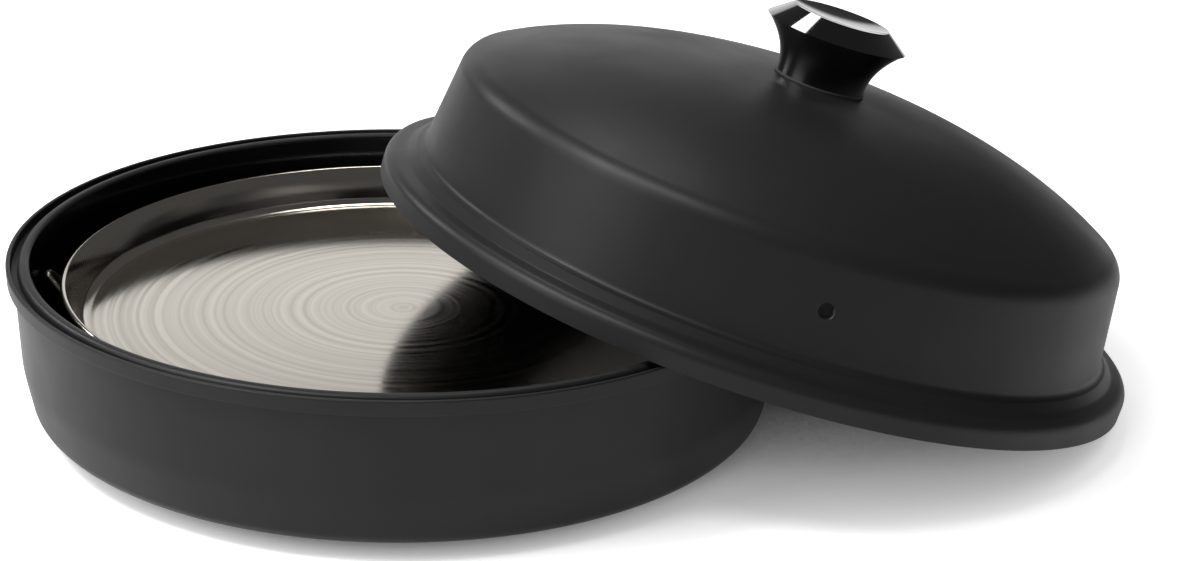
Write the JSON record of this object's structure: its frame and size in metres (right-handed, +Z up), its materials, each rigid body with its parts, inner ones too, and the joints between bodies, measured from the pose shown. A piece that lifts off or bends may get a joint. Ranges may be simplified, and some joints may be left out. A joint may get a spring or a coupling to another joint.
{
  "type": "stovetop pizza maker",
  "caption": "Round deep pan with a wire rack, a shallow steel pizza tray and a domed lid with a spool knob; the lid leans on the pan.",
  "frame": {"origin": "centre of the pan's underside, on the table", "axes": "+X from the pan towards the leaning lid, +Z up, +Y across"},
  "size_m": [0.4712, 0.33, 0.1653],
  "materials": {
    "charcoal_coating": "matte non-stick coating on cast aluminium",
    "brushed_disc": "brushed",
    "rack_wire": "drawn steel wire",
    "tray_steel": "polished stainless steel",
    "gasket": "matte",
    "knob_plastic": "gloss black phenolic",
    "insert_brass": "turned",
    "fixing_steel": "plated"
  },
  "bodies": {
    "pan": {"base_pan": "charcoal_coating", "base_disc": "brushed_disc"},
    "rack": {"rack_top_ring": "rack_wire", "rack_inner_ring": "rack_wire", "rack_foot_ring": "rack_wire", "rack_arm_1": "rack_wire", "rack_arm_2": "rack_wire", "rack_arm_3": "rack_wire", "rack_arm_4": "rack_wire", "rack_post_1": "rack_wire", "rack_post_2": "rack_wire", "rack_post_3": "rack_wire", "rack_post_4": "rack_wire"},
    "tray": {"pizza_tray": "tray_steel"},
    "lid": {"lid_shell": "charcoal_coating", "knob_gasket": "gasket", "knob_body": "knob_plastic", "knob_insert": "insert_brass", "knob_screw": "fixing_steel", "knob_washer": "fixing_steel", "knob_spring_washer": "fixing_steel"}
  },
  "joints": [
    {"name": "lid_lift", "type": "slide", "parent": "pan", "child": "lid", "axis": [0, 0, 1], "range_m": [0, 0.24]},
    {"name": "rack_lift", "type": "slide", "parent": "pan", "child": "rack", "axis": [0, 0, 1], "range_m": [0, 0.072]},
    {"name": "tray_lift", "type": "slide", "parent": "rack", "child": "tray", "axis": [0, 0, 1], "range_m": [0, 0.084]}
  ],
  "couplings": [
    {"joint": "rack_lift", "follows": "lid_lift", "ratio": 0.3},
    {"joint": "tray_lift", "follows": "lid_lift", "ratio": 0.35}
  ]
}
